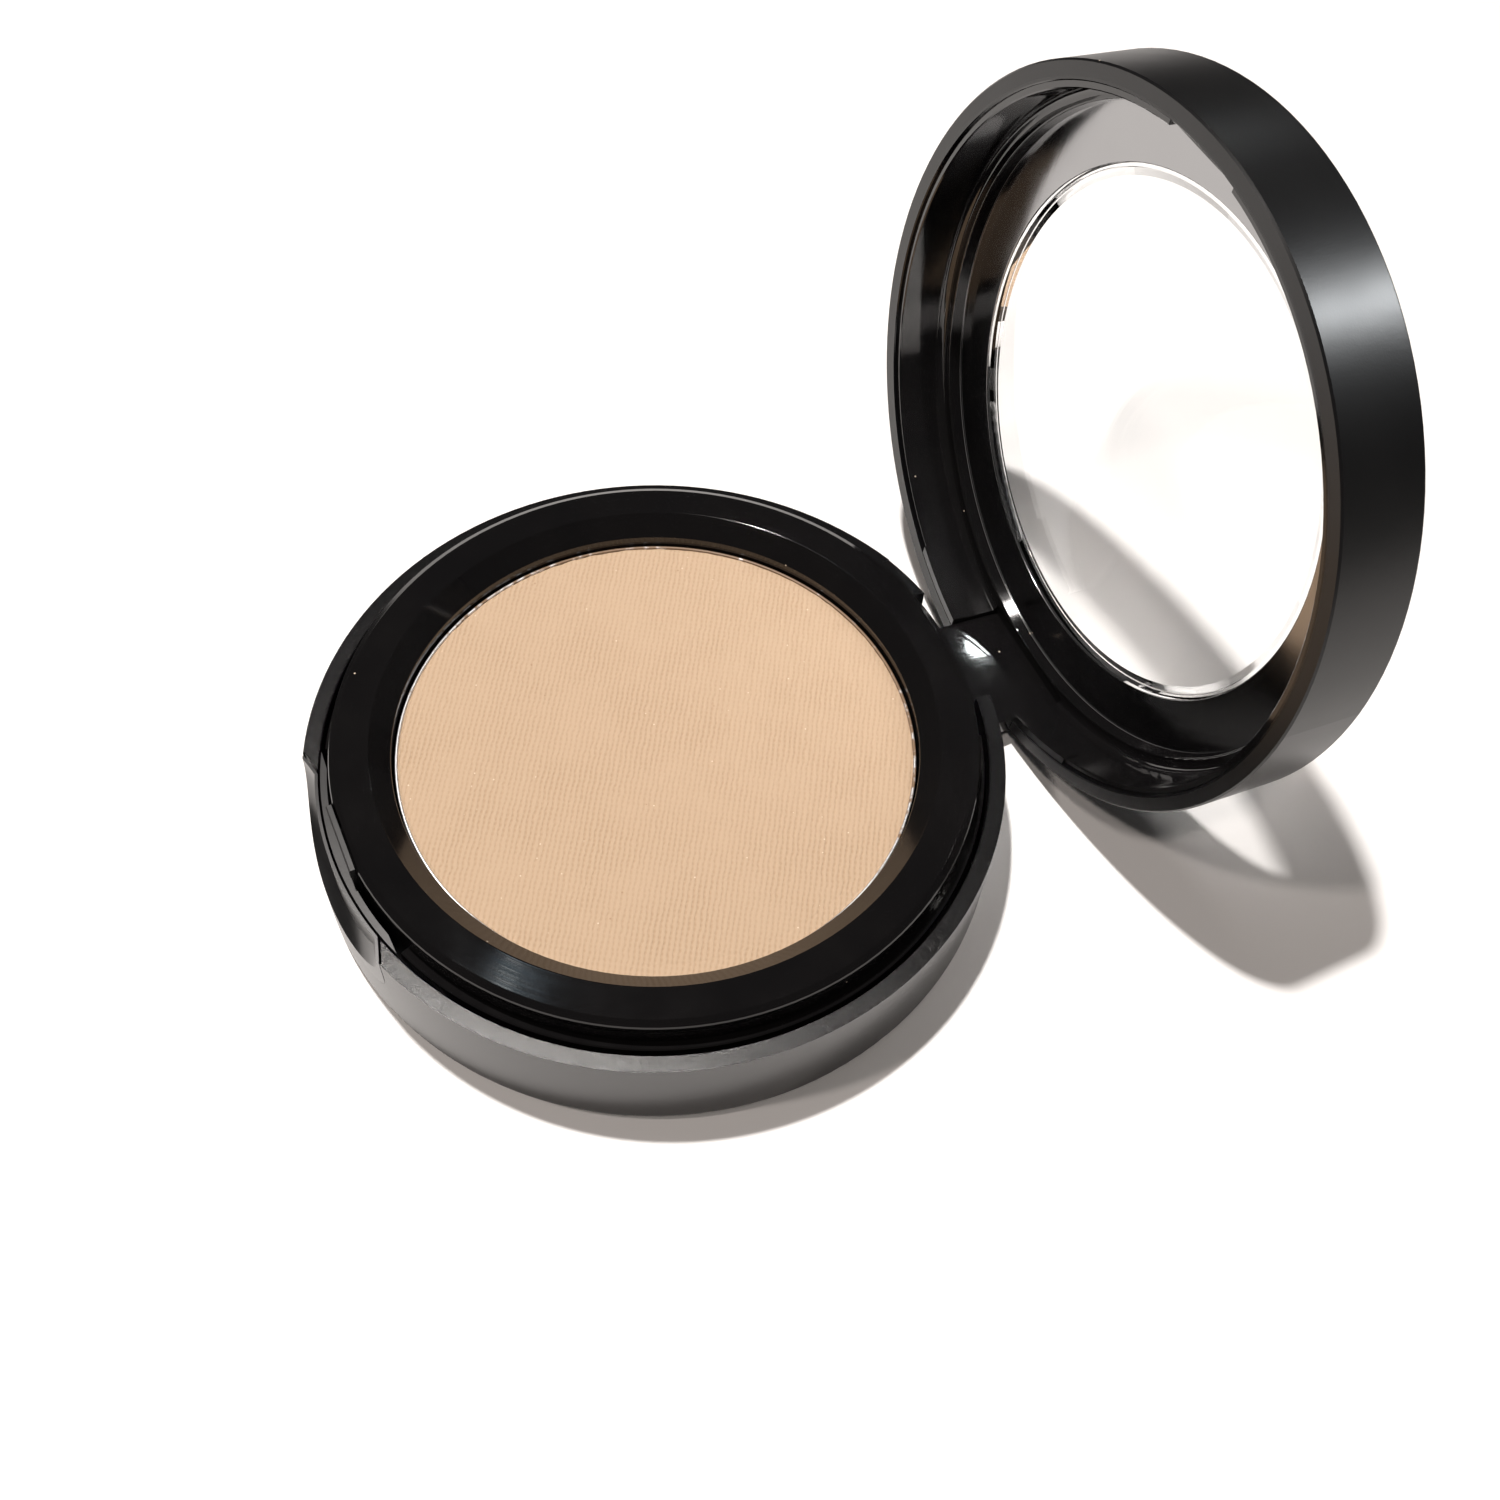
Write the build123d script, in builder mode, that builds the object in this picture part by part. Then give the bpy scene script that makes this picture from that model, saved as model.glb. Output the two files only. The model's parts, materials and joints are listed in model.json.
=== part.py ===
from build123d import *
from math import cos, radians, sin
import os

# Round powder compact with a see-through lid, standing open on its base.
# Frame: origin at the centre of the base's underside, +Z up, hinge at the back (+Y), thumb scoop
# at the front (-Y).  The lid pieces are drawn in the closed lid's frame and stand swung open.

# ---- driving dimensions (mm, degrees) --------------------------------------------------------
BODY_R = 36.0            # outer radius of base and lid
LEDGE_Z = 11.9           # top of the base's outer wall
LEDGE_IN_R = 34.3        # inside of the base's outer wall
FLOOR_T = 1.3            # base floor
BASE_EDGE_R = 1.5        # rounded lower edge of the base
TOP_EDGE = 0.18          # broken outer edges where base and lid meet
FINE_EDGE = 0.12         # broken edges of the moulded pieces

PARTING_GAP = 0.15       # closed lid above the ledge
LID_H = 8.85             # lid, rim to outer face
LID_IN_R = 34.15         # inside of the lid's outer wall
LID_EDGE = 0.25          # rounded edge of the lid's outer face
LID_PLATE_T = 0.75       # outer plate of the lid
OPEN_ANGLE = 96.9        # lid swing from closed to the position that is modelled

PIN_Y = 32.9             # hinge axis, behind the centre
PIN_Z = 5.1              # hinge axis above the underside
PIN_R = 0.8
PIN_HALF = 11.4          # half length of the pin
PIN_CHAMFER = 0.2
PIN_PLAY = 0.05          # running clearance in the arm

ARM_HALF = 7.2           # half width of the hinge arm
ARM_IN_Y = 33.25         # flat inner face of the arm
ARM_KNUCKLE_R = 3.1      # round foot of the arm about the pin
ARM_TOP = 6.1            # arm's top above the lid's rim
ARM_GAP = 0.06           # gap beside the arm in the lid
SLOT_HALF = 7.5          # half width of the slot in the base's wall
BOSS_TOP = 8.0           # top of the two pin bosses
BOSS_ROOT = 0.3          # how far the bosses run into the wall
BOSS_IN_Y = 29.9         # inner face of the pin bosses
RELIEF_HALF = 13.0       # ledge relieved for the swinging rim, half width
RELIEF_R = 6.72          # radius of that relief about the pin

WELL_R = 26.95           # pan well
WELL_FLOOR = 7.3
LIP_Z = 13.2             # foot of the sloping wall round the well
BEZEL_Z = 15.1           # flat top of the collar
BEZEL_IN_R = 28.97
BEZEL_OUT_R = 32.2       # outer edge of the flat top
COLLAR_R = 32.95         # upright wall of the collar
COLLAR_SHOULDER = 14.65  # foot of the sloping shoulder
FLANGE_R = 33.85         # foot flange of the collar
FLANGE_Z = 11.95
FLANGE_T = 1.2
WELL_T = 1.0             # wall and floor of the well
BEZEL_T = 1.3
LIP_R = 0.18             # rounded lip of the well
HINGE_ROOM = 0.6         # room left round the pin bosses
STRIP_ROOM = 0.5         # angle left beside the catch strip
CUT_OVER = 0.1           # cutting blocks reach this far past the face they cut
SKIRT_T = 1.1            # wall of the collar and its skirt

PAN_R = 26.75
PAN_TOP = 12.0
PAN_WALL = 0.3
PAN_FLOOR = 7.6
ADHESIVE_R = 21.0
CAKE_EDGE_DROP = 0.15    # cake below the pan's rim at its edge
CAKE_DOME = 0.35         # rise of the cake's middle
PAN_CORNER = 0.8         # outer corner of the drawn pan
PAN_RIM_R = 0.13         # rounded edges of the pan's rim

SCOOP_HALF = 12.9        # half width of the thumb scoop at the outer wall
SCOOP_Z = 6.0            # foot of the scoop
SCOOP_PLAN_R = 45.0      # plan radius of the concave scoop
SCOOP_DEPTH = 4.2        # depth of that plan arc behind the outer wall
SCOOP_CORNER = 2.6       # rounded lower corners
SCOOP_SEAM = 0.25        # gap round the scoop piece
SCOOP_LIP = 0.3          # thickness left at the scoop's upper edge
DRUM_BULGE = 1.2         # how far the recess is hollowed below its upper edge
DRUM_MID = 3.4           # depth of that hollow below the ledge
DRUM_FOOT = 0.12         # the recess starts this far above the foot of the scoop

STRIP_OUT_R = 34.15      # springy catch strip behind the scoop
STRIP_IN_R = 33.5
STRIP_SPAN = 21.3        # half angle at its outer side
STRIP_TAPER = 3.6        # angle taken by each tapered end
HOOK_HALF = 3.95         # half width of the hook
HOOK_IN_R = 32.8
HOOK_NOSE_R = 33.4
HOOK_STEM_R = 33.2
HOOK_TOP = 14.9
HOOK_NOSE_H = 1.2
HOOK_LEAD = 0.15
HOOK_FOOT_Z = 10.8
HOOK_PLAY = 0.25

LINER_WALL_R = 33.45     # gloss liner inside the lid
LINER_RIM = 0.35         # liner's edge behind the lid's rim
LINER_STEP = 6.0         # height of the inner step
LINER_STEP_R = 32.0
LINER_FACE = 7.45        # flat ring round the window
LINER_FACE_R = 31.8
LINER_COVE = 1.0
RING_EDGE_R = 0.2        # rounded edge between step and ring
PAD_R = 33.3             # pads beside the hinge arm
PAD_HALF = 16.0
PAD_DEPTH = 1.8
CATCH_HALF = 4.7         # pocket for the hook in the liner
CATCH_RIB_R = 33.8
CATCH_POCKET_R = 33.95
CATCH_LOW = 1.3          # pocket above the catch rib
CATCH_HIGH = 4.2

WINDOW_R = 26.35         # opening in liner and lid plate
WINDOW_PLAY = 0.03
WINDOW_RIM = 7.55        # thick rim of the window
WINDOW_FACE = 8.1        # inner face of the window's thin middle
WINDOW_CLEAR_R = 25.1
WINDOW_LAND = 0.35
WINDOW_EDGE = 0.1

FIT_GAP = 0.02           # between pieces fixed to each other

os.makedirs("parts", exist_ok=True)

# ---- frames ------------------------------------------------------------------------------------
LID_RIM_Z = LEDGE_Z + PARTING_GAP
PIN_PLANE = Plane(origin=(0, PIN_Y, PIN_Z), x_dir=(0, 1, 0), z_dir=(1, 0, 0))
BASE_FRAME = Plane.XY


def swung(point):
    """Where a point of the closed compact lies after the lid has swung open."""
    x, y, z = point
    c, s = cos(radians(OPEN_ANGLE)), sin(radians(OPEN_ANGLE))
    across, up = y - PIN_Y, z - PIN_Z
    return Vector(x, PIN_Y + c * across + s * up, PIN_Z - s * across + c * up)


LID_ORIGIN = swung((0, 0, LID_RIM_Z))
LID_UP = swung((0, 0, LID_RIM_Z + 1)) - LID_ORIGIN
LID_FRAME = Plane(origin=LID_ORIGIN, x_dir=(1, 0, 0), z_dir=LID_UP)


def section(frame):
    """Upright plane through a frame's axis: x is radius, y is height."""
    return Plane(origin=frame.origin, x_dir=frame.x_dir, z_dir=-frame.y_dir)


def side(frame):
    """Upright plane square to the hinge pin: x is the frame's y, y is height."""
    return Plane(origin=frame.origin, x_dir=frame.y_dir, z_dir=frame.x_dir)


def spin_axis(frame):
    return Axis(frame.origin, frame.z_dir)


def on_circle(radius, angle):
    """Point on a circle, measured in degrees from the front (-Y) towards +X."""
    return radius * sin(radians(angle)), -radius * cos(radians(angle))


def ring(inner, outer):
    """Flat ring in the sketch that is open."""
    Circle(outer)
    Circle(inner, mode=Mode.SUBTRACT)


def corner(across, up):
    """Corner of the sketch that is open."""
    return vertices().sort_by_distance((across, up))[0]


def save(piece, label):
    piece.part.label = label
    export_step(piece.part, f"parts/{label}.step")
    print(f"{label:16s} {piece.part.volume:10.2f} mm3")


# ---- shared cutting shapes -----------------------------------------------------------------------
SCOOP_AXIS_Y = -(BODY_R - SCOOP_DEPTH + SCOOP_PLAN_R)


def scoop_outline(shrink):
    """Front outline of the scoop window: open at the top, rounded lower corners."""
    half = SCOOP_HALF - shrink
    foot = SCOOP_Z + shrink
    with BuildSketch(Plane.XZ.offset(BODY_R - 2 * SCOOP_DEPTH)) as outline:
        with BuildLine():
            Polyline((-half, LEDGE_Z + 1), (-half, foot), (half, foot), (half, LEDGE_Z + 1), close=True)
        make_face()
        fillet(vertices().group_by(Axis.Y)[0], SCOOP_CORNER - shrink)
    return outline.sketch


# Window that the scoop piece fills: in front of a tall cylinder, inside the front outline.
with BuildPart() as scoop_window:
    with BuildSketch(Plane.XY.offset(SCOOP_Z - 1)):
        with Locations((0, SCOOP_AXIS_Y)):
            Circle(SCOOP_PLAN_R + SCOOP_SEAM)
    extrude(amount=LEDGE_Z)
    extrude(scoop_outline(0), amount=3 * SCOOP_DEPTH, mode=Mode.INTERSECT)

# Concave thumb recess: a bulged drum about an upright axis in front of the compact.
with BuildPart() as thumb_recess:
    with BuildSketch(Plane(origin=(0, SCOOP_AXIS_Y, 0), x_dir=(0, 1, 0), z_dir=(1, 0, 0))):
        with BuildLine():
            drum_top = (SCOOP_PLAN_R - SCOOP_LIP, LEDGE_Z + SCOOP_LIP)
            drum_bulge = (SCOOP_PLAN_R - DRUM_BULGE, LEDGE_Z - DRUM_MID)
            drum_foot = (SCOOP_PLAN_R - SCOOP_DEPTH - CUT_OVER, SCOOP_Z + DRUM_FOOT)
            ThreePointArc(drum_top, drum_bulge, drum_foot)
            Polyline(drum_foot, (SCOOP_PLAN_R - 2 * SCOOP_DEPTH, drum_foot[1]),
                     (SCOOP_PLAN_R - 2 * SCOOP_DEPTH, drum_top[1]), drum_top)
        make_face()
    revolve(axis=Axis((0, SCOOP_AXIS_Y, 0), (0, 0, 1)))
    with BuildSketch(Plane.XY.offset(SCOOP_Z - 2)):
        Circle(STRIP_OUT_R + SCOOP_SEAM + SCOOP_LIP)
    extrude(amount=LEDGE_Z, mode=Mode.SUBTRACT)

# ---- base body -----------------------------------------------------------------------------------
with BuildPart() as base_shell:
    with BuildSketch(section(BASE_FRAME)):
        with BuildLine():
            Polyline((0, 0), (BODY_R, 0), (BODY_R, LEDGE_Z), (LEDGE_IN_R, LEDGE_Z),
                     (LEDGE_IN_R, FLOOR_T), (0, FLOOR_T), close=True)
        make_face()
        outer = vertices().group_by(Axis.X)[-1].sort_by(Axis.Y)
        fillet(outer[0], BASE_EDGE_R)
        chamfer(outer[-1], TOP_EDGE)
        chamfer(corner(LEDGE_IN_R, LEDGE_Z), FINE_EDGE)
    revolve(axis=Axis.Z)
    # bosses that hold the ends of the hinge pin, against the wall
    with BuildSketch(Plane.XY.offset(FLOOR_T)):
        Circle(LEDGE_IN_R + BOSS_ROOT)
        boss_mid = (BOSS_IN_Y + BODY_R) / 2
        with Locations((0, boss_mid)):
            Rectangle(2 * PIN_HALF, BODY_R - BOSS_IN_Y, mode=Mode.INTERSECT)
    extrude(amount=BOSS_TOP - FLOOR_T)
    # slot for the arm, between the bosses and out through the wall
    with BuildSketch(Plane.XY.offset(FLOOR_T)):
        with Locations((0, boss_mid)):
            Rectangle(2 * SLOT_HALF, BODY_R - BOSS_IN_Y + 2)
    extrude(amount=LEDGE_Z, mode=Mode.SUBTRACT)
    # ledge rounded off concentric with the pin, so that the swinging rim clears it
    with BuildSketch(side(BASE_FRAME)):
        with Locations((PIN_Y + RELIEF_R, PIN_Z + RELIEF_R)):
            Rectangle(2 * RELIEF_R, RELIEF_R)
        with Locations((PIN_Y, PIN_Z)):
            Circle(RELIEF_R, mode=Mode.SUBTRACT)
    extrude(amount=RELIEF_HALF, both=True, mode=Mode.SUBTRACT)
    # holes that grip the pin
    with BuildSketch(PIN_PLANE):
        Circle(PIN_R)
    extrude(amount=PIN_HALF, both=True, mode=Mode.SUBTRACT)
    add(scoop_window.part, mode=Mode.SUBTRACT)

with BuildPart() as thumb_scoop:
    with BuildSketch(Plane.XY.offset(SCOOP_Z)):
        ring(STRIP_OUT_R + SCOOP_SEAM, BODY_R)
        with Locations((0, SCOOP_AXIS_Y)):
            Circle(SCOOP_PLAN_R, mode=Mode.INTERSECT)
    extrude(amount=LEDGE_Z - SCOOP_Z)
    extrude(scoop_outline(FIT_GAP), amount=3 * SCOOP_DEPTH, mode=Mode.INTERSECT)
    add(thumb_recess.part, mode=Mode.SUBTRACT)

with BuildPart() as catch_strip:
    with BuildSketch(Plane.XY.offset(FLOOR_T)):
        ring(STRIP_IN_R, STRIP_OUT_R)
        inner_end = STRIP_SPAN - STRIP_TAPER
        with BuildLine():
            Polyline(on_circle(STRIP_IN_R, -inner_end), on_circle(STRIP_OUT_R, -STRIP_SPAN),
                     on_circle(2 * BODY_R, -STRIP_SPAN), on_circle(2 * BODY_R, STRIP_SPAN),
                     on_circle(STRIP_OUT_R, STRIP_SPAN), on_circle(STRIP_IN_R, inner_end), close=True)
        make_face(mode=Mode.INTERSECT)
    extrude(amount=LEDGE_Z - FLOOR_T)
    with BuildSketch(side(BASE_FRAME)):
        with BuildLine():
            root_r = STRIP_IN_R + CUT_OVER
            Polyline((-HOOK_IN_R, HOOK_TOP), (-HOOK_IN_R, HOOK_FOOT_Z), (-root_r, HOOK_FOOT_Z),
                     (-root_r, LEDGE_Z), (-HOOK_STEM_R, LEDGE_Z),
                     (-HOOK_STEM_R, HOOK_TOP - HOOK_NOSE_H), (-HOOK_NOSE_R, HOOK_TOP - HOOK_NOSE_H),
                     (-HOOK_NOSE_R, HOOK_TOP - HOOK_LEAD), (-HOOK_NOSE_R + HOOK_LEAD, HOOK_TOP), close=True)
        make_face()
    extrude(amount=HOOK_HALF, both=True)

with BuildPart() as base_insert:
    with BuildSketch(section(BASE_FRAME)):
        with BuildLine():
            Polyline((0, WELL_FLOOR - WELL_T), (0, WELL_FLOOR), (WELL_R, WELL_FLOOR), (WELL_R, LIP_Z),
                     (BEZEL_IN_R, BEZEL_Z), (BEZEL_OUT_R, BEZEL_Z),
                     (COLLAR_R, COLLAR_SHOULDER), (COLLAR_R, FLANGE_Z), (FLANGE_R, FLANGE_Z),
                     (FLANGE_R, FLANGE_Z - FLANGE_T), (COLLAR_R, FLANGE_Z - FLANGE_T), (COLLAR_R, FLOOR_T),
                     (COLLAR_R - SKIRT_T, FLOOR_T), (COLLAR_R - SKIRT_T, BEZEL_Z - BEZEL_T),
                     (BEZEL_IN_R, BEZEL_Z - BEZEL_T), (WELL_R + WELL_T, PAN_TOP),
                     (WELL_R + WELL_T, WELL_FLOOR - WELL_T), close=True)
        make_face()
        fillet(corner(WELL_R, LIP_Z), LIP_R)
        fillet(corner(BEZEL_IN_R, BEZEL_Z), LIP_R)
        fillet(corner(BEZEL_OUT_R, BEZEL_Z), LIP_R)
        chamfer(corner(COLLAR_R, COLLAR_SHOULDER), FINE_EDGE)
        chamfer(corner(FLANGE_R, FLANGE_Z), FINE_EDGE)
    revolve(axis=Axis.Z)
    # flange left out in front, where the catch strip stands
    with BuildSketch(Plane.XY.offset(FLANGE_Z - FLANGE_T - CUT_OVER)):
        ring(COLLAR_R, BODY_R)
        with BuildLine():
            half_span = STRIP_SPAN + STRIP_ROOM
            Polyline((0, 0), on_circle(2 * BODY_R, -half_span), on_circle(2 * BODY_R, half_span), close=True)
        make_face(mode=Mode.INTERSECT)
    extrude(amount=FLANGE_T + 2 * CUT_OVER, mode=Mode.SUBTRACT)
    # notch in the collar for the hook
    with BuildSketch(Plane.XY.offset(HOOK_FOOT_Z - HOOK_PLAY)):
        with Locations((0, -BODY_R)):
            Rectangle(2 * (HOOK_HALF + HOOK_PLAY), 2 * (BODY_R - HOOK_IN_R + HOOK_PLAY))
    extrude(amount=BEZEL_Z, mode=Mode.SUBTRACT)
    # skirt and flange left out at the back, round the hinge
    hinge_width = 2 * (PIN_HALF + HINGE_ROOM)
    with BuildSketch(Plane.XY.offset(FLOOR_T - CUT_OVER)):
        with Locations((0, BODY_R)):
            Rectangle(hinge_width, 2 * (BODY_R - BOSS_IN_Y + HINGE_ROOM))
    extrude(amount=BOSS_TOP + HINGE_ROOM - FLOOR_T + CUT_OVER, mode=Mode.SUBTRACT)
    with BuildSketch(Plane.XY.offset(FLANGE_Z - FLANGE_T - CUT_OVER)):
        ring(COLLAR_R, BODY_R)
        with Locations((0, BODY_R)):
            Rectangle(hinge_width, BODY_R, mode=Mode.INTERSECT)
    extrude(amount=FLANGE_T + 2 * CUT_OVER, mode=Mode.SUBTRACT)

with BuildPart() as pan_adhesive:
    with BuildSketch(Plane.XY.offset(WELL_FLOOR)):
        Circle(ADHESIVE_R)
    extrude(amount=PAN_FLOOR - WELL_FLOOR)

with BuildPart() as powder_pan:
    with BuildSketch(section(BASE_FRAME)):
        with BuildLine():
            Polyline((0, PAN_FLOOR), (PAN_R, PAN_FLOOR), (PAN_R, PAN_TOP), (PAN_R - PAN_WALL, PAN_TOP),
                     (PAN_R - PAN_WALL, PAN_FLOOR + PAN_WALL), (0, PAN_FLOOR + PAN_WALL), close=True)
        make_face()
        fillet(corner(PAN_R, PAN_FLOOR), PAN_CORNER)
        fillet(corner(PAN_R, PAN_TOP), PAN_RIM_R)
        fillet(corner(PAN_R - PAN_WALL, PAN_TOP), PAN_RIM_R)
    revolve(axis=Axis.Z)

with BuildPart() as pressed_powder:
    cake_r = PAN_R - PAN_WALL - FIT_GAP
    cake_edge = PAN_TOP - CAKE_EDGE_DROP
    with BuildSketch(section(BASE_FRAME)):
        with BuildLine():
            Polyline((0, cake_edge + CAKE_DOME), (0, PAN_FLOOR + PAN_WALL), (cake_r, PAN_FLOOR + PAN_WALL),
                     (cake_r, cake_edge))
            dome_r = (cake_r**2 + CAKE_DOME**2) / (2 * CAKE_DOME)
            RadiusArc((cake_r, cake_edge), (0, cake_edge + CAKE_DOME), -dome_r)
        make_face()
    revolve(axis=Axis.Z)

with BuildPart() as hinge_pin:
    with BuildSketch(PIN_PLANE):
        Circle(PIN_R)
    extrude(amount=PIN_HALF, both=True)
    chamfer(edges().filter_by(GeomType.CIRCLE), PIN_CHAMFER)

# ---- lid body, drawn in the closed lid's frame -------------------------------------------------------
PIN_IN_LID = (PIN_Y, PIN_Z - LID_RIM_Z)

with BuildPart() as lid_shell:
    with BuildSketch(section(LID_FRAME)):
        with BuildLine():
            Polyline((LID_IN_R, 0), (BODY_R, 0), (BODY_R, LID_H), (WINDOW_R, LID_H),
                     (WINDOW_R, LID_H - LID_PLATE_T), (LID_IN_R, LID_H - LID_PLATE_T), close=True)
        make_face()
        chamfer(corner(BODY_R, 0), TOP_EDGE)
        chamfer(corner(LID_IN_R, 0), FINE_EDGE)
        fillet(corner(BODY_R, LID_H), LID_EDGE)
    revolve(axis=spin_axis(LID_FRAME))
    with BuildSketch(LID_FRAME):
        with Locations((0, BODY_R)):
            Rectangle(2 * (ARM_HALF + ARM_GAP), 2 * (BODY_R - ARM_IN_Y))
    extrude(amount=ARM_TOP, mode=Mode.SUBTRACT)

with BuildPart() as lid_liner:
    liner_out_r = LID_IN_R - FIT_GAP
    with BuildSketch(section(LID_FRAME)):
        with BuildLine():
            Polyline((LINER_WALL_R, LINER_RIM), (liner_out_r, LINER_RIM), (liner_out_r, LID_H - LID_PLATE_T),
                     (WINDOW_R, LID_H - LID_PLATE_T), (WINDOW_R, LINER_FACE), (LINER_FACE_R, LINER_FACE),
                     (LINER_STEP_R, LINER_STEP), (LINER_WALL_R, LINER_STEP), close=True)
        make_face()
        fillet(corner(LINER_WALL_R, LINER_STEP), LINER_COVE)
        chamfer(corner(LINER_WALL_R, LINER_RIM), FINE_EDGE)
        fillet(corner(LINER_STEP_R, LINER_STEP), RING_EDGE_R)
        fillet(corner(WINDOW_R, LINER_FACE), FINE_EDGE)
    revolve(axis=spin_axis(LID_FRAME))
    # pads on both sides of the arm, level with the rim
    with BuildSketch(LID_FRAME):
        ring(PAD_R, liner_out_r)
        with Locations((0, BODY_R)):
            Rectangle(2 * PAD_HALF, BODY_R, mode=Mode.INTERSECT)
    extrude(amount=PAD_DEPTH)
    # notch for the arm
    with BuildSketch(LID_FRAME):
        with Locations((0, BODY_R)):
            Rectangle(2 * (ARM_HALF + ARM_GAP), 2 * (BODY_R - LINER_STEP_R))
    extrude(amount=ARM_TOP, mode=Mode.SUBTRACT)
    # pocket for the hook, with the catch rib below it
    with BuildSketch(LID_FRAME):
        with Locations((0, -LINER_STEP_R)):
            Rectangle(2 * CATCH_HALF, 2 * (CATCH_RIB_R - LINER_STEP_R))
    extrude(amount=CATCH_LOW, mode=Mode.SUBTRACT)
    with BuildSketch(LID_FRAME.offset(CATCH_LOW)):
        with Locations((0, -LINER_STEP_R)):
            Rectangle(2 * CATCH_HALF, 2 * (CATCH_POCKET_R - LINER_STEP_R))
    extrude(amount=CATCH_HIGH - CATCH_LOW, mode=Mode.SUBTRACT)

with BuildPart() as lid_hinge_arm:
    with BuildSketch(side(LID_FRAME)):
        with Locations(PIN_IN_LID):
            Circle(ARM_KNUCKLE_R)
        web_mid = (ARM_IN_Y + BODY_R) / 2
        with Locations((web_mid, (ARM_TOP + PIN_IN_LID[1]) / 2)):
            Rectangle(BODY_R - ARM_IN_Y, ARM_TOP - PIN_IN_LID[1])
        with Locations(PIN_IN_LID):
            Circle(PIN_R + PIN_PLAY, mode=Mode.SUBTRACT)
    extrude(amount=ARM_HALF, both=True)
    with BuildSketch(LID_FRAME.offset(-LID_RIM_Z)):
        Circle(BODY_R)
    extrude(amount=LID_RIM_Z + LID_H, mode=Mode.INTERSECT)

with BuildPart() as lid_window:
    window_r = WINDOW_R - WINDOW_PLAY
    with BuildSketch(section(LID_FRAME)):
        with BuildLine():
            Polyline((0, WINDOW_FACE), (WINDOW_CLEAR_R, WINDOW_FACE), (window_r - WINDOW_LAND, WINDOW_RIM),
                     (window_r, WINDOW_RIM), (window_r, LID_H), (0, LID_H), close=True)
        make_face()
        chamfer(corner(window_r, LID_H), WINDOW_EDGE)
    revolve(axis=spin_axis(LID_FRAME))

# ---- files ---------------------------------------------------------------------------------------------
save(base_shell, "base_shell")
save(thumb_scoop, "thumb_scoop")
save(catch_strip, "catch_strip")
save(base_insert, "base_insert")
save(pan_adhesive, "pan_adhesive")
save(powder_pan, "powder_pan")
save(pressed_powder, "pressed_powder")
save(hinge_pin, "hinge_pin")
save(lid_shell, "lid_shell")
save(lid_liner, "lid_liner")
save(lid_hinge_arm, "lid_hinge_arm")
save(lid_window, "lid_window")

foot = swung((0, BODY_R, LID_RIM_Z + LID_H))
print(f"hinge axis at y {PIN_Y}, z {PIN_Z}; lid's back edge stands at z {foot.Z:.3f}")
print("lid frame origin", LID_ORIGIN, "up", LID_UP)
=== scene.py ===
import bpy
import json
from math import cos, exp, pi, radians, sin
from mathutils import Matrix, Vector, noise


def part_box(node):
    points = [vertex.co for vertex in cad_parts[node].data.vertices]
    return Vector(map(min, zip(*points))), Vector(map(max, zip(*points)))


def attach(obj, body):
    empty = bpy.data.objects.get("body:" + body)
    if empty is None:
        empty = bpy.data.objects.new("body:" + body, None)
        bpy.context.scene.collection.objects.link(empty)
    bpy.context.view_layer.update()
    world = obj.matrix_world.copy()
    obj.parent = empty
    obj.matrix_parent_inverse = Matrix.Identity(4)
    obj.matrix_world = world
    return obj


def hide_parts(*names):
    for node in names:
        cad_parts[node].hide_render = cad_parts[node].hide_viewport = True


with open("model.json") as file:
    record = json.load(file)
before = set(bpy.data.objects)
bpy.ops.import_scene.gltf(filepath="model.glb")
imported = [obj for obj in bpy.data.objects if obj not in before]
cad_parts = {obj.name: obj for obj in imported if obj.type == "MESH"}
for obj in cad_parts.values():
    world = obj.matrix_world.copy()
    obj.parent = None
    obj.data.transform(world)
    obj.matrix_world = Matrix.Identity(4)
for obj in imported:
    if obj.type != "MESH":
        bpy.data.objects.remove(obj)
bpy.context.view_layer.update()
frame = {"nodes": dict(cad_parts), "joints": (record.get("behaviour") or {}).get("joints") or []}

MM = 0.001

# ---- places taken from the frame -----------------------------------------------------------------
cake_low, cake_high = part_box("pressed_powder")
CAKE_R = (cake_high[0] - cake_low[0]) / 2
LEDGE_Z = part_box("base_shell")[1][2]
BEZEL_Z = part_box("base_insert")[1][2]
PAN_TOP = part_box("powder_pan")[1][2]

OPEN_ANGLE = radians(-frame["joints"][0]["range_deg"][0])
LID_AXIS = Vector((0, sin(OPEN_ANGLE), cos(OPEN_ANGLE)))
LINER_BACK = max(vertex.co @ LID_AXIS for vertex in frame["nodes"]["lid_liner"].data.vertices)
WINDOW_POINTS = [vertex.co for vertex in frame["nodes"]["lid_window"].data.vertices]
LID_MIDDLE = Vector([(min(along) + max(along)) / 2 for along in zip(*WINDOW_POINTS)])
LID_TOP = max(vertex.co @ LID_AXIS for vertex in frame["nodes"]["lid_shell"].data.vertices)
LID_IN_R = 34.15 * MM                    # inside of the lid's outer wall
RING_DEPTH = LINER_BACK - 0.65 * MM      # front of the flat ring round the window


# ---- camera --------------------------------------------------------------------------------------
CAMERA_PLACE = Vector((87.99, -35.91, 153.18)) * MM
CAMERA_AZIMUTH = radians(62.03)
CAMERA_ELEVATION = radians(56.16)
CAMERA_ROLL = radians(4.28)
SENSOR_WIDTH = 36
FOCAL_LENGTH = 39.58
NEAREST = 5 * MM                         # nothing closer to the camera is drawn


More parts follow.
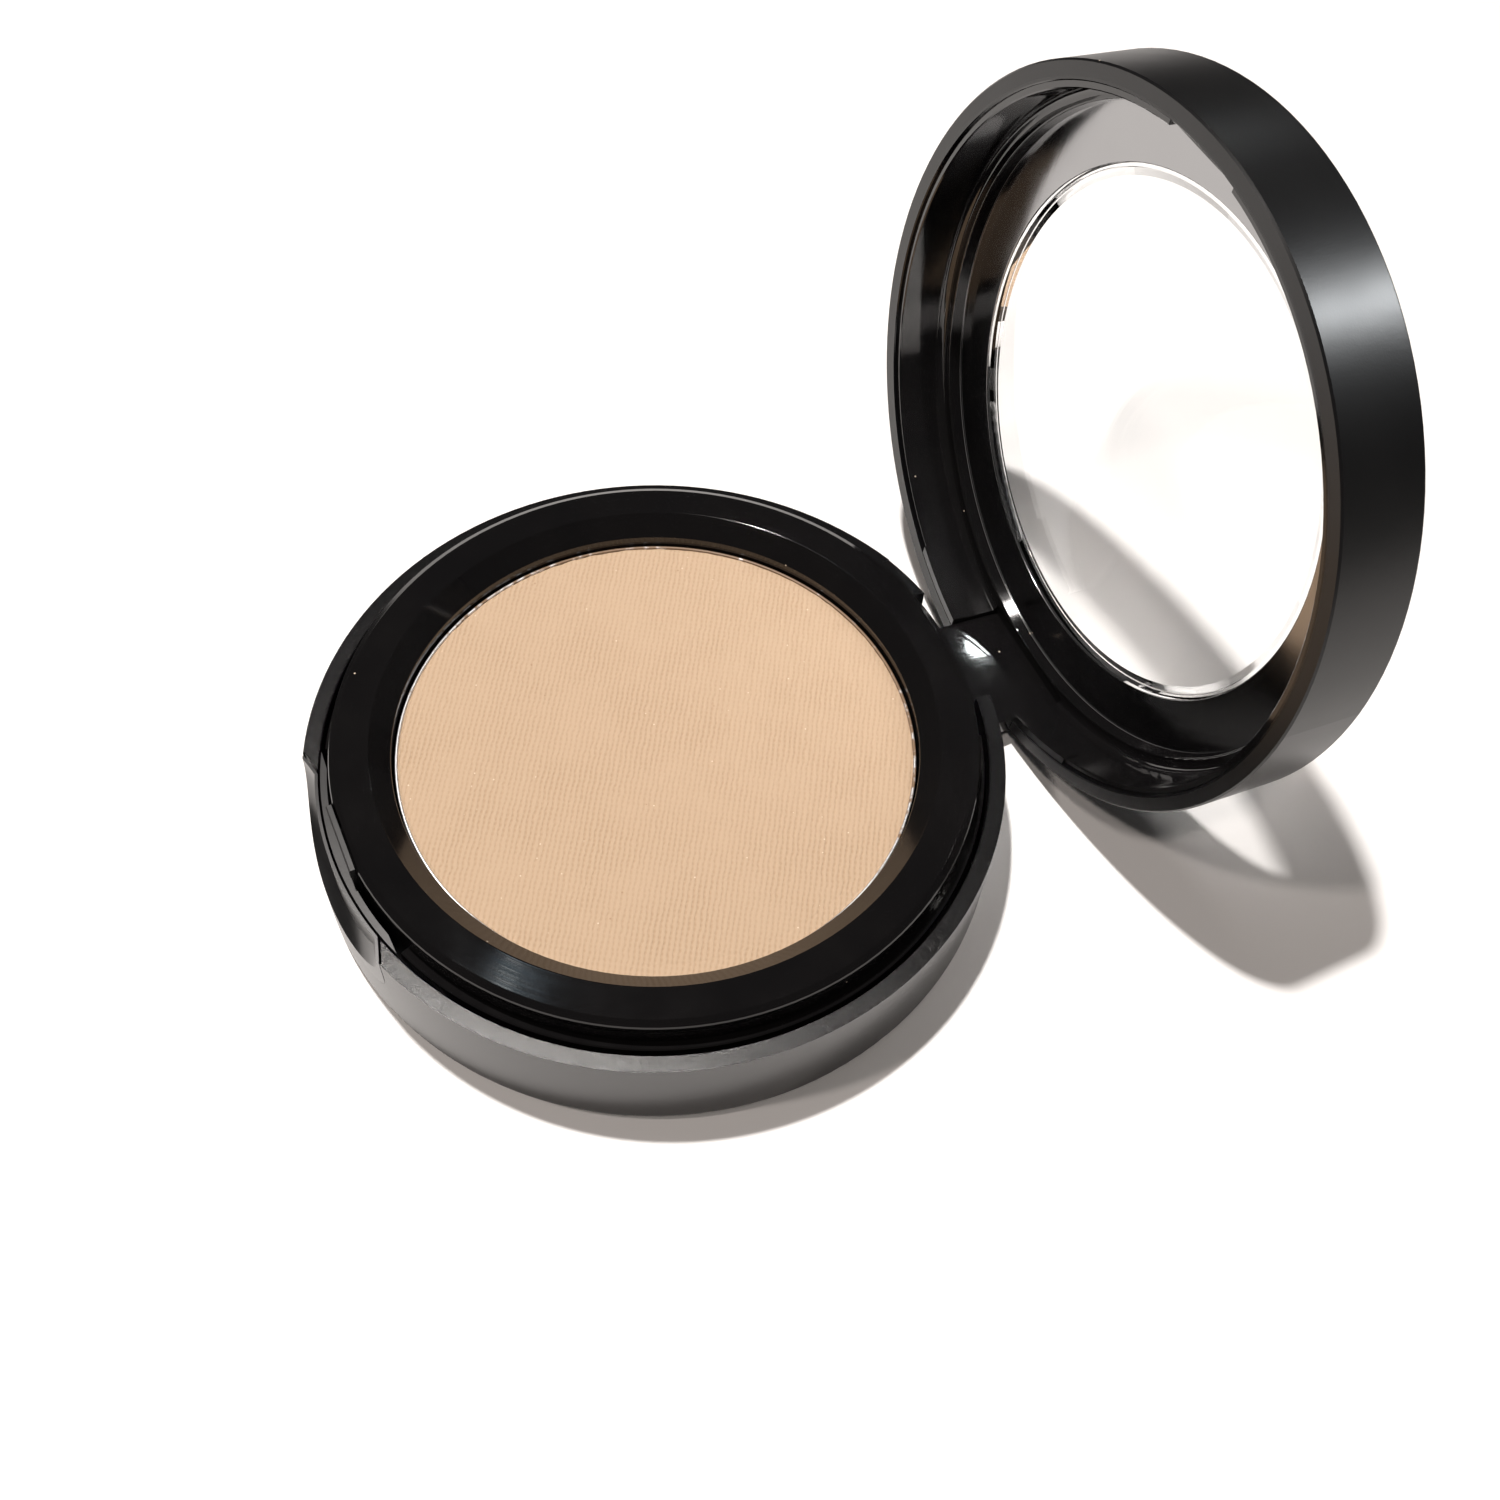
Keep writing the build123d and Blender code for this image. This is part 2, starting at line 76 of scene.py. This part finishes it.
def photo_camera():
    """Looks down on the open compact from its front right."""
    azimuth, elevation, roll = CAMERA_AZIMUTH, CAMERA_ELEVATION, CAMERA_ROLL
    back = Vector((sin(azimuth) * cos(elevation), -cos(azimuth) * cos(elevation), sin(elevation)))
    level = Vector((cos(azimuth), sin(azimuth), 0))
    upright = back.cross(level)
    right = cos(roll) * level + sin(roll) * upright
    up = cos(roll) * upright - sin(roll) * level
    data = bpy.data.cameras.new("camera")
    data.sensor_width = SENSOR_WIDTH
    data.lens = FOCAL_LENGTH
    data.clip_start = NEAREST
    camera = bpy.data.objects.new("camera", data)
    turn = Matrix((right, up, back)).transposed()
    camera.matrix_world = Matrix.Translation(CAMERA_PLACE) @ turn.to_4x4()
    bpy.context.scene.collection.objects.link(camera)
    bpy.context.scene.camera = camera


photo_camera()
bpy.context.scene.view_settings.view_transform = "Standard"


# ---- studio --------------------------------------------------------------------------------------
AIM = Vector((0, 20, 10)) * MM           # the point that every lamp faces
FLOOR_HALF = 0.5
FLOOR_PAPER = (0.9, 0.9, 0.9, 1)
ROOM_COLOUR = (1, 0.96, 0.93, 1)
ROOM_LIGHT = 0.035                       # what surfaces receive from the room
BACKDROP_LIGHT = 0.85                    # what the camera sees beyond the floor


def lamp(name, toward, distance, diameter, radiance, colour, lights_matt=True, shines=True,
         in_window=False):
    """Round soft lamp, seen from the compact in one direction, as bright as its radiance says.
    One that doesn't light matt surfaces only shows as a reflection.
    One that doesn't shine shows in no reflection.
    One that is in the window also reaches surfaces along the rays that bend through the window."""
    data = bpy.data.lights.new(name, "AREA")
    data.shape = "DISK"
    data.size = diameter
    data.energy = radiance * pi * pi * (diameter / 2) ** 2
    data.color = colour
    light = bpy.data.objects.new(name, data)
    light.location = AIM + Vector(toward).normalized() * distance
    light.rotation_mode = "QUATERNION"
    light.rotation_quaternion = Vector(toward).to_track_quat("Z", "Y")
    light.visible_diffuse = lights_matt
    light.visible_transmission = in_window
    light.visible_glossy = shines
    bpy.context.scene.collection.objects.link(light)


def plain_floor():
    """Pale sheet that the compact stands on."""
    mesh = bpy.data.meshes.new("floor")
    corners = [(x * FLOOR_HALF, y * FLOOR_HALF, 0) for x, y in ((-1, -1), (1, -1), (1, 1), (-1, 1))]
    mesh.from_pydata(corners, [], [(0, 1, 2, 3)])
    floor = bpy.data.objects.new("floor", mesh)
    bpy.context.scene.collection.objects.link(floor)
    look = bpy.data.materials.new("floor_paper")
    look.use_nodes = True
    shader = look.node_tree.nodes["Principled BSDF"]
    shader.inputs["Base Color"].default_value = FLOOR_PAPER
    shader.inputs["Roughness"].default_value = 0.9
    shader.inputs["Specular IOR Level"].default_value = 0.1
    mesh.materials.append(look)


plain_floor()
lamp("key_lamp", (-0.129, -0.084, 0.687), 0.705, 0.03, 2700, (1, 0.95, 0.91))
lamp("second_lamp", (0.241, -0.170, 0.642), 0.706, 0.05, 140, (1, 0.9, 0.83), shines=False, in_window=True)
lamp("front_lamp", (-0.05, -0.55, 0.83), 0.7, 0.05, 150, (1, 0.89, 0.82), shines=False, in_window=True)
lamp("blue_lamp", (-0.409, 0.025, 0.911), 0.693, 0.035, 1.8, (0.66, 0.86, 1), lights_matt=False)
lamp("glint_lamp", (-0.393, -0.003, 0.919), 0.692, 0.012, 18, (0.95, 1, 1), lights_matt=False)
lamp("spark_lamp", (-0.477, 0.611, 0.634), 0.511, 0.014, 110, (0.95, 1, 1), lights_matt=False,
     in_window=True)
lamp("rim_lamp", (0.18, 0.77, 0.61), 0.7, 0.065, 150, (0.95, 0.98, 1), lights_matt=False)


def room():
    """Dim room to every surface, and a pale backdrop where the camera looks straight at it."""
    world = bpy.data.worlds.new("room")
    world.use_nodes = True
    tree = world.node_tree
    seen = tree.nodes.new("ShaderNodeLightPath")
    strength = tree.nodes.new("ShaderNodeMapRange")
    tree.links.new(seen.outputs["Is Camera Ray"], strength.inputs["Value"])
    strength.inputs["To Min"].default_value = ROOM_LIGHT
    strength.inputs["To Max"].default_value = BACKDROP_LIGHT
    background = tree.nodes["Background"]
    background.inputs["Color"].default_value = ROOM_COLOUR
    tree.links.new(strength.outputs["Result"], background.inputs["Strength"])
    bpy.context.scene.world = world


room()


# ---- material maker ------------------------------------------------------------------------------
class Look:
    """A material that is being made: its Principled shader and the nodes that feed it."""

    def __init__(self, name, colour, roughness, **constants):
        self.material = bpy.data.materials.new(name)
        self.material.use_nodes = True
        self.tree = self.material.node_tree
        self.shader = self.tree.nodes["Principled BSDF"]
        self.place = self.add("ShaderNodeTexCoord").outputs["Object"]
        self.feed(self.shader, "Base Color", colour)
        self.feed(self.shader, "Roughness", roughness)
        for socket, value in constants.items():
            self.feed(self.shader, socket.replace("_", " "), value)

    def feed(self, node, socket, value):
        """Puts a number, a colour or another node's output on a socket."""
        if isinstance(value, bpy.types.NodeSocket):
            self.tree.links.new(value, node.inputs[socket])
        elif isinstance(value, tuple) and len(node.inputs[socket].default_value) == 4:
            node.inputs[socket].default_value = (*value, 1)
        else:
            node.inputs[socket].default_value = value

    def add(self, kind, settings=None, **sockets):
        node = self.tree.nodes.new(kind)
        for key, value in (settings or {}).items():
            setattr(node, key, value)
        for socket, value in sockets.items():
            self.feed(node, socket.replace("_", " "), value)
        return node

    def sum(self, operation, first, second=0.0):
        node = self.add("ShaderNodeMath", {"operation": operation})
        self.feed(node, 0, first)
        self.feed(node, 1, second)
        return node.outputs[0]

    def grain(self, size, detail=2.0, stretch=None, seed=0.0):
        """Noise from 0 to 1 whose blobs are about this many metres across."""
        place = self.place
        if stretch:
            place = self.add("ShaderNodeMapping", Vector=place, Scale=stretch).outputs["Vector"]
        node = self.add("ShaderNodeTexNoise", {"noise_dimensions": "4D"}, Vector=place, W=seed,
                        Scale=1 / size, Detail=detail)
        return node.outputs["Fac"]

    def between(self, value, low, high, out_low=0.0, out_high=1.0):
        """Takes the stretch low to high of a value to out_low to out_high, clamped."""
        node = self.add("ShaderNodeMapRange", {"clamp": True}, Value=value)
        for socket, bound in zip((1, 2, 3, 4), (low, high, out_low, out_high)):
            node.inputs[socket].default_value = bound
        return node.outputs["Result"]

    def mix(self, factor, first, second):
        node = self.add("ShaderNodeMix", {"data_type": "RGBA"})
        self.feed(node, 0, factor)
        self.feed(node, 6, first)
        self.feed(node, 7, second)
        return node.outputs[2]

    def specks(self, cell, radius, share):
        """Round specks: one at most in each cell, in this share of the cells."""
        node = self.add("ShaderNodeTexVoronoi", Vector=self.place, Scale=1 / cell)
        near = self.between(node.outputs["Distance"], radius / cell, 0.7 * radius / cell)
        chosen = self.add("ShaderNodeSeparateColor", Color=node.outputs["Color"]).outputs[0]
        return self.sum("MULTIPLY", near, self.sum("LESS_THAN", chosen, share))

    def height(self):
        return self.add("ShaderNodeSeparateXYZ", Vector=self.place).outputs["Z"]

    def vector_sum(self, operation, vector, other=None):
        """Vector Math node between a vector output and a constant vector."""
        node = self.add("ShaderNodeVectorMath", {"operation": operation})
        self.feed(node, 0, vector)
        if other is not None:
            node.inputs[1].default_value = other
        return node.outputs["Value" if operation in ("LENGTH", "DOT_PRODUCT") else "Vector"]

    def facing_up(self, low, high):
        """1 on faces that look up, 0 on upright faces."""
        normal = self.add("ShaderNodeNewGeometry").outputs["Normal"]
        return self.between(self.add("ShaderNodeSeparateXYZ", Vector=normal).outputs["Z"], low, high)

    def bumps(self, *layers):
        """Bump of several (height, depth in metres) layers."""
        normal = None
        for value, depth in layers:
            node = self.add("ShaderNodeBump", Height=value, Distance=depth)
            if normal:
                self.feed(node, "Normal", normal)
            normal = node.outputs["Normal"]
        self.feed(self.shader, "Normal", normal)

    def wear(self, node):
        """Puts the finished material on a CAD node."""
        frame["nodes"][node].data.materials.clear()
        frame["nodes"][node].data.materials.append(self.material)


DUST = (0.62, 0.52, 0.42)


def dusty(look, colour, cell, radius, share):
    """Colour with a few pale specks of powder on it."""
    return look.mix(look.specks(cell, radius, share), colour, DUST)


# ---- black mouldings -----------------------------------------------------------------------------
SATIN_TONE = (0.003, 0.003, 0.0035)
SATIN_DEEP = (0.0025, 0.0025, 0.003)
SATIN_PALE = (0.0042, 0.004, 0.0042)
SATIN_GRAIN = 0.16 * MM
SATIN_GRAIN_DEPTH = 0.004 * MM
RIPPLE = 1.6 * MM
RIPPLE_DEPTH = 0.006 * MM


def satin_black(node, seed, ior, roughness):
    """Fine satin lacquer of the outer mouldings."""
    look = Look(f"{node}_satin", SATIN_TONE, roughness, IOR=ior)
    cloud = look.grain(12 * MM, seed=seed)
    tone = look.mix(cloud, SATIN_DEEP, SATIN_PALE)
    look.feed(look.shader, "Base Color", dusty(look, tone, 3.1 * MM, 0.1 * MM, 0.2))
    fine = look.grain(SATIN_GRAIN, seed=seed)
    uneven = look.between(cloud, 0.3, 0.7, 0.92 * roughness, 1.06 * roughness)
    look.feed(look.shader, "Roughness", uneven)
    look.bumps((fine, SATIN_GRAIN_DEPTH), (look.grain(RIPPLE, seed=seed), RIPPLE_DEPTH))
    return look


LEDGE_ROUGHNESS = 0.2
GRIT = 0.13 * MM
GRIT_DEPTH = 0.034 * MM


def sparkle_ledge(look, seed, roughness):
    """Turns the flat top of a satin moulding into a sparkling blasted surface."""
    flat = look.facing_up(0.6, 0.9)
    top = look.between(look.height(), LEDGE_Z - 0.4 * MM, LEDGE_Z - 0.2 * MM)
    ledge = look.sum("MULTIPLY", flat, top)
    grit = look.sum("MULTIPLY", look.grain(GRIT, detail=3, seed=seed), ledge)
    look.feed(look.shader, "Roughness", look.between(ledge, 0, 1, roughness, LEDGE_ROUGHNESS))
    look.bumps((look.grain(SATIN_GRAIN, seed=seed), SATIN_GRAIN_DEPTH), (grit, GRIT_DEPTH))


INSIDE_POLISH = 0.2                      # roughness of the lid's inner side, as a share of the satin's


def polished_inside(look):
    """Turns the inner side of the lid's outer wall glossy, and leaves the outer face satin."""
    out = look.vector_sum("SUBTRACT", look.place, LID_MIDDLE)
    radius = look.vector_sum("LENGTH", look.vector_sum("CROSS_PRODUCT", out, LID_AXIS))
    depth = look.vector_sum("DOT_PRODUCT", look.place, LID_AXIS)
    wall = look.between(radius, LID_IN_R + 0.1 * MM, LID_IN_R + 0.4 * MM)
    face = look.between(depth, LID_TOP - 0.5 * MM, LID_TOP - 0.3 * MM)
    outside = look.sum("MAXIMUM", wall, face)
    satin = look.shader.inputs["Roughness"].links[0].from_socket
    polish = look.between(outside, 0, 1, INSIDE_POLISH, 1)
    look.feed(look.shader, "Roughness", look.sum("MULTIPLY", satin, polish))


SATIN = {                                # index of refraction and roughness of each moulding
    "base_shell": (1.5, 0.28),
    "thumb_scoop": (2.0, 0.3),
    "catch_strip": (1.7, 0.34),
    "lid_shell": (1.5, 0.34),
}
for seed, (node, (ior, roughness)) in enumerate(SATIN.items()):
    satin = satin_black(node, seed, ior, roughness)
    if node == "base_shell":
        sparkle_ledge(satin, seed, roughness)
    if node == "lid_shell":
        polished_inside(satin)
    satin.wear(node)


GLOSS_TONE = (0.006, 0.006, 0.0065)
GLOSS_DEEP = (0.003, 0.003, 0.0035)
GLOSS_PALE = (0.006, 0.0055, 0.0055)
SAG = 9 * MM                             # width of the slow waves that moulding leaves
SAG_DEPTH = 0.02 * MM


def gloss_black(node, seed, ior, polish=0.05):
    """Polished black with faint smears, hairline scratches and specks of powder."""
    look = Look(f"{node}_gloss", GLOSS_TONE, 0.07, IOR=ior)
    smear = look.grain(7 * MM, detail=4, seed=seed)
    scratch = look.grain(0.5 * MM, stretch=(1, 0.06, 0.06), seed=seed)
    tone = look.mix(smear, GLOSS_DEEP, GLOSS_PALE)
    look.feed(look.shader, "Base Color", dusty(look, tone, 2.3 * MM, 0.11 * MM, 0.22))
    look.feed(look.shader, "Roughness", look.between(smear, 0.35, 0.75, polish, 2.6 * polish))
    look.bumps((scratch, 0.002 * MM), (look.grain(SAG, seed=seed + 0.5), SAG_DEPTH))
    return look


TURNING_MARK = 0.14 * MM
TURNING_DEPTH = 0.0035 * MM


def turning_marks(look, seed):
    """Fine rings round the compact's axis on the flat top of the insert."""
    radius = look.vector_sum("LENGTH", look.vector_sum("MULTIPLY", look.place, (1, 1, 0)))
    marks = look.add("ShaderNodeTexNoise", {"noise_dimensions": "1D"}, W=radius,
                     Scale=1 / TURNING_MARK, Detail=2.0)
    top = look.between(look.height(), BEZEL_Z - 0.06 * MM, BEZEL_Z - 0.02 * MM)
    rings = look.sum("MULTIPLY", marks.outputs["Fac"], top)
    look.bumps((look.grain(SAG, seed=seed), SAG_DEPTH), (rings, TURNING_DEPTH))


insert = gloss_black("base_insert", 11, 1.52)
turning_marks(insert, 11.5)
insert.wear("base_insert")
gloss_black("lid_hinge_arm", 12, 1.6, 0.025).wear("lid_hinge_arm")


RING_METAL = (0.34, 0.34, 0.345)


def mirror_ring(look):
    """Turns the flat ring round the window into a dark mirror."""
    depth = look.vector_sum("DOT_PRODUCT", look.place, LID_AXIS)
    ring = look.between(depth, RING_DEPTH - 0.15 * MM, RING_DEPTH - 0.05 * MM)
    black = look.shader.inputs["Base Color"].links[0].from_socket
    look.feed(look.shader, "Base Color", look.mix(ring, black, RING_METAL))
    look.feed(look.shader, "Metallic", ring)
    smear = look.shader.inputs["Roughness"].links[0].from_socket
    look.feed(look.shader, "Roughness", look.sum("ADD", smear, look.sum("MULTIPLY", ring, 0.07)))


liner = gloss_black("lid_liner", 13, 1.7)
mirror_ring(liner)
liner.wear("lid_liner")


# ---- metal, foam and window ------------------------------------------------------------------------
ALUMINIUM = (0.86, 0.86, 0.87)
RIM_BROWN = (0.2, 0.13, 0.08)
RIM_BROWN_SIDE = Vector((-0.62, 0.78, 0))   # the side of the rim that carries most of the brown patches


def stamped_aluminium():
    """Bright pan with fine drawing marks, and brown patches that are not metal on its rim, most of them on
    the far side.
    """
    look = Look("stamped_aluminium", ALUMINIUM, 0.25, Metallic=1.0)
    marks = look.grain(0.25 * MM, detail=3, seed=21)
    across = look.vector_sum("DOT_PRODUCT", look.place, RIM_BROWN_SIDE / (2 * CAKE_R))
    patches = look.grain(1.1 * MM, detail=4, seed=22)
    cloud = look.sum("ADD", patches, look.sum("MULTIPLY", across, 0.5))
    # brown, non-metal patches on the rim, more of them towards the far side
    brown_patches = look.between(cloud, 0.5, 0.64)
    rim = look.between(look.height(), PAN_TOP - 0.5 * MM, PAN_TOP - 0.2 * MM)
    browned = look.sum("MULTIPLY", brown_patches, rim)
    look.feed(look.shader, "Base Color", look.mix(browned, ALUMINIUM, RIM_BROWN))
    look.feed(look.shader, "Metallic", look.between(browned, 0, 1, 1, 0))
    look.feed(look.shader, "Roughness", look.between(marks, 0.3, 0.7, 0.34, 0.46))
    look.bumps((marks, 0.004 * MM))
    look.wear("powder_pan")


def drawn_steel():
    look = Look("drawn_steel", (0.6, 0.6, 0.62), 0.25, Metallic=1.0)
    lines = look.grain(0.1 * MM, stretch=(0.05, 1, 1), seed=23)
    look.feed(look.shader, "Base Color", look.mix(lines, (0.52, 0.52, 0.54), (0.68, 0.68, 0.7)))
    look.feed(look.shader, "Roughness", look.between(lines, 0.3, 0.7, 0.2, 0.35))
    look.bumps((lines, 0.003 * MM))
    look.wear("hinge_pin")


def white_foam():
    look = Look("white_foam", (0.8, 0.8, 0.76), 0.9)
    cells = look.grain(0.3 * MM, detail=3, seed=24)
    look.feed(look.shader, "Base Color", look.mix(cells, (0.7, 0.7, 0.66), (0.85, 0.85, 0.82)))
    look.bumps((cells, 0.05 * MM))
    look.wear("pan_adhesive")


WINDOW_SHADE = (0.8, 0.8, 0.8)           # share of a lamp's light that passes the window


def clear_window():
    """Clear moulded plastic that lets the lamps through to the table behind it."""
    look = Look("clear_window", (0.97, 0.98, 0.98), 0.0, IOR=1.49, Transmission_Weight=1.0)
    film = look.grain(14 * MM, detail=4, seed=25)
    look.feed(look.shader, "Base Color", look.mix(film, (0.95, 0.96, 0.96), (0.985, 0.985, 0.985)))
    look.bumps((look.grain(20 * MM, seed=26), 0.02 * MM))
    through = look.add("ShaderNodeBsdfTransparent", Color=WINDOW_SHADE)
    shadow = look.add("ShaderNodeLightPath").outputs["Is Shadow Ray"]
    swap = look.add("ShaderNodeMixShader")
    look.feed(swap, 0, shadow)
    look.tree.links.new(look.shader.outputs["BSDF"], swap.inputs[1])
    look.tree.links.new(through.outputs["BSDF"], swap.inputs[2])
    output = look.tree.nodes["Material Output"]
    look.tree.links.new(swap.outputs["Shader"], output.inputs["Surface"])
    look.wear("lid_window")


stamped_aluminium()
drawn_steel()
white_foam()
clear_window()

# ---- pressed powder --------------------------------------------------------------------------------
PRINT_TURN = radians(-31)        # run of the cloth's warp
PRINT_PITCH = 0.53 * MM
EDGE_MARK = 1.3 * MM             # line left by the edge of the pressing cloth, inside the cake's edge
EDGE_MARK_DEPTH = 0.05 * MM
EDGE_MARK_WIDTH = 0.14 * MM
CAKE_CROWN = 0.35 * MM
CAKE_ROUNDING = 0.3 * MM         # width of the crumbled edge
CRUMBLED_DEPTH = 0.12 * MM
CRUMB = 1.2 * MM                 # size of the breaks along the edge and the mark
WAVE = 9 * MM
WAVE_DEPTH = 0.02 * MM
SECTORS = 360
INNER_RINGS = 50
OUTER_RINGS = 30                 # finer rings, near the edge
OUTER_BAND = 2.2 * MM
POWDER_PALE = (0.49, 0.362, 0.252)
POWDER_DEEP = (0.48, 0.352, 0.242)
# colour of the cloth print's hollows: painted shade
POWDER_HOLLOW_SHADE = (0.34, 0.22, 0.125)
POWDER_CRUMB = (0.72, 0.6, 0.46)
# colour of small pits: painted shade
POWDER_PIT_SHADE = (0.3, 0.19, 0.11)
PRINT_DEPTH = 0.06 * MM


def cake_height(radius, angle):
    """Height of the cake's top, with its crown, its crumbled edge and the cloth's edge mark."""
    edge = CAKE_R - radius
    place = Vector((radius * cos(angle), radius * sin(angle), 0))
    broken = 0.5 + noise.noise(place / CRUMB)
    mark = EDGE_MARK_DEPTH * broken * exp(-((edge - EDGE_MARK) / EDGE_MARK_WIDTH) ** 2)
    crumbled = CRUMBLED_DEPTH * broken * exp(-edge / CAKE_ROUNDING)
    waves = WAVE_DEPTH * (noise.noise(place / WAVE) - 1)
    return cake_high[2] - CAKE_CROWN * (radius / CAKE_R) ** 2 - mark - crumbled + waves


def cake_mesh():
    """Closed cake: a top of rings round a middle point, an upright side and an underside."""
    inner_r = CAKE_R - OUTER_BAND
    radii = [inner_r * i / INNER_RINGS for i in range(1, INNER_RINGS + 1)]
    radii += [inner_r + OUTER_BAND * i / OUTER_RINGS for i in range(1, OUTER_RINGS + 1)]
    vertices = [(0, 0, cake_height(0, 0))]
    faces = []
    for radius in radii + [CAKE_R]:
        under = len(vertices) > SECTORS * len(radii)
        for i in range(SECTORS):
            angle = 2 * pi * i / SECTORS
            z = cake_low[2] if under else cake_height(radius, angle)
            vertices.append((radius * cos(angle), radius * sin(angle), z))
    for i in range(SECTORS):
        j = (i + 1) % SECTORS
        faces.append((0, 1 + i, 1 + j))
        for ring in range(len(radii)):
            a, b = 1 + ring * SECTORS, 1 + (ring + 1) * SECTORS
            faces.append((a + i, b + i, b + j, a + j))
    last = 1 + len(radii) * SECTORS
    faces.append(tuple(last + i for i in reversed(range(SECTORS))))
    mesh = bpy.data.meshes.new("powder_cake")
    mesh.from_pydata(vertices, [], faces)
    mesh.polygons.foreach_set("use_smooth", [len(face) < 5 for face in faces])
    mesh.set_sharp_from_angle(angle=radians(50))
    return mesh


def powder_look():
    """Matt pressed powder, printed by a woven cloth."""
    look = Look("pressed_powder", (0.54, 0.40, 0.28), 0.95, Specular_IOR_Level=0.15)
    turn = look.add("ShaderNodeMapping", Vector=look.place, Rotation=(0, 0, -PRINT_TURN))
    turned = turn.outputs["Vector"]
    wave_scale = 2 * pi / (20 * PRINT_PITCH)
    bands = []
    for direction, pitch_share in (("Y", 1.0), ("X", 0.88)):
        wave = look.add("ShaderNodeTexWave", {"bands_direction": direction}, Vector=turned,
                        Scale=wave_scale * pitch_share, Distortion=2.4, Detail=3.0, Detail_Scale=1.6)
        bands.append(wave.outputs["Fac"])
    weave = look.sum("MULTIPLY", look.between(bands[0], 0.35, 1), look.between(bands[1], 0, 1, 0.55, 1))
    patches = look.between(look.grain(5 * MM, detail=4, seed=31), 0.35, 0.65, 0.55, 1)
    print_depth = look.sum("MULTIPLY", weave, patches)
    grain = look.grain(0.12 * MM, detail=3, seed=32)
    cloud = look.grain(16 * MM, seed=33)
    base = look.mix(cloud, POWDER_DEEP, POWDER_PALE)
    # the hollows of the cloth print are coloured darker: painted shade on top of the bump
    printed = look.mix(look.between(print_depth, 0.1, 1, 0, 0.48), base, POWDER_HOLLOW_SHADE)
    crumbs = look.mix(look.specks(1.3 * MM, 0.09 * MM, 0.3), printed, POWDER_CRUMB)
    # small darker specks: painted shade in tiny pits, which have no bump
    pit_shade = look.sum("MULTIPLY", look.specks(2.1 * MM, 0.12 * MM, 0.25), 0.6)
    look.feed(look.shader, "Base Color", look.mix(pit_shade, crumbs, POWDER_PIT_SHADE))
    look.feed(look.shader, "Roughness", look.between(grain, 0.2, 0.8, 0.85, 1))
    look.bumps((look.sum("SUBTRACT", 1, print_depth), PRINT_DEPTH), (grain, 0.012 * MM))
    return look.material


cake = bpy.data.objects.new("powder_cake", cake_mesh())
bpy.context.scene.collection.objects.link(cake)
cake.data.materials.append(powder_look())
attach(cake, "base")
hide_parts("pressed_powder")
